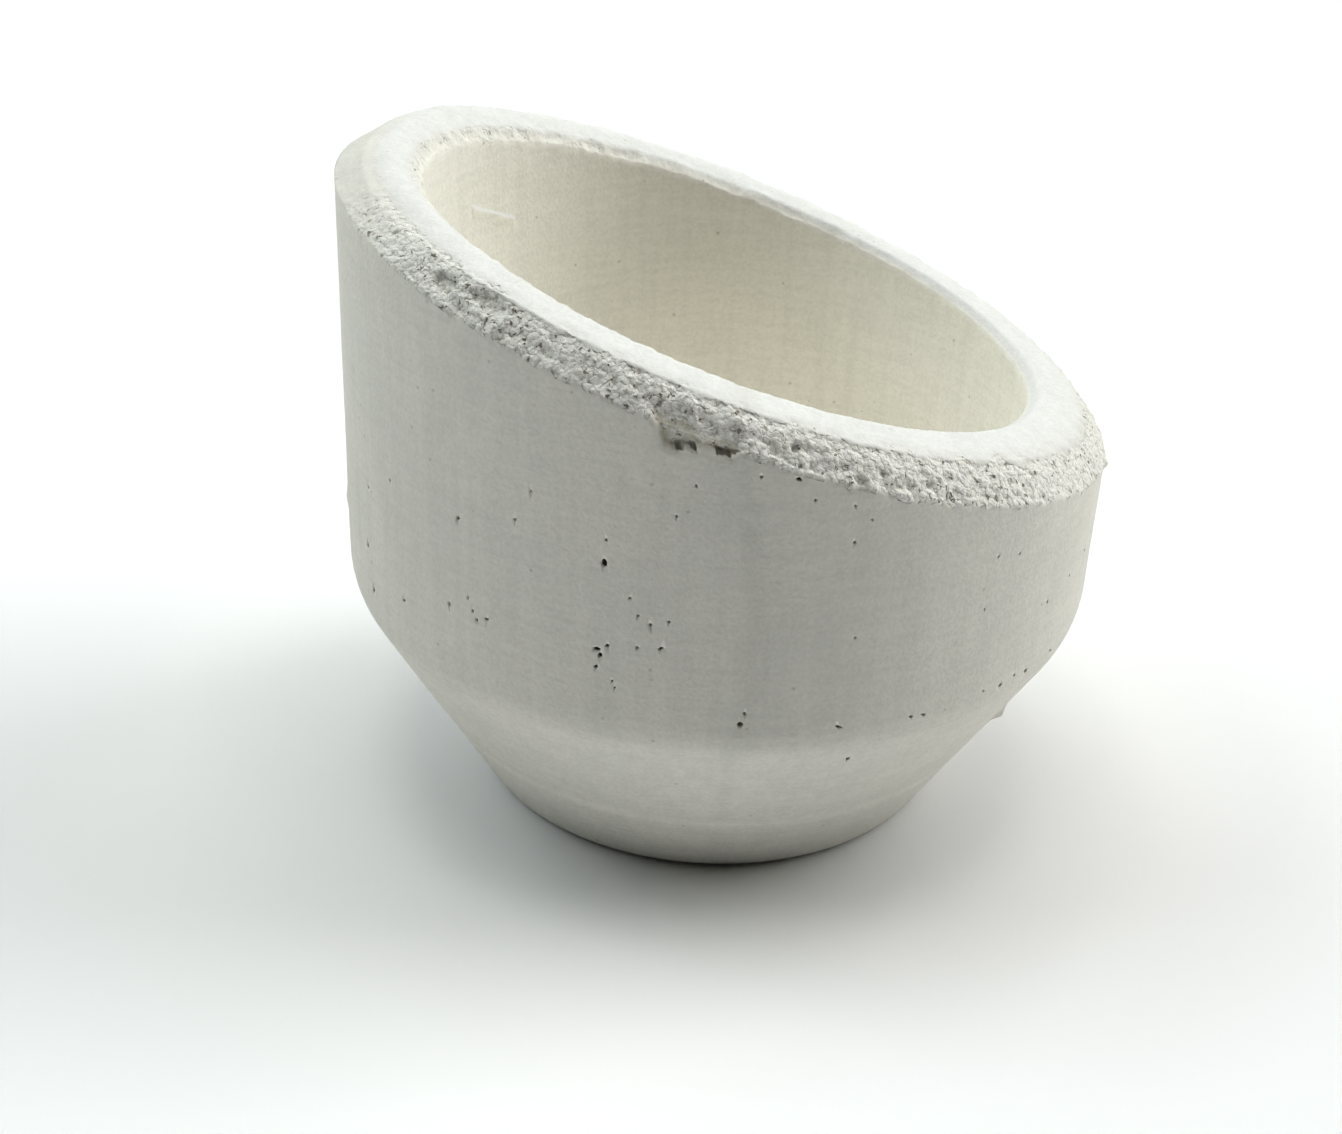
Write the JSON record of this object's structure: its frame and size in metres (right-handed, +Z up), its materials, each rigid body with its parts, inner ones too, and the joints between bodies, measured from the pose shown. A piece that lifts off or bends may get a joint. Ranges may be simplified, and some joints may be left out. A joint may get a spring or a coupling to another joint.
{
  "type": "melting crucible",
  "caption": "Small refractory melting crucible: upright wall, rounded shoulder, conical foot with a flat base, slanted rim with a rough outer bevel.",
  "frame": {"origin": "centre of the flat base, on the axis of the cone and wall", "axes": "+Z up along the axis of the wall, out of the mouth; +X towards the lowest point of the slanted rim; +Y completes the right-handed frame, and the front is -Y"},
  "size_m": [0.0604, 0.0604, 0.0527],
  "materials": {
    "refractory": "unglazed cast refractory, chalky and slightly grainy"
  },
  "bodies": {
    "root": {"crucible": "refractory"}
  },
  "joints": []
}
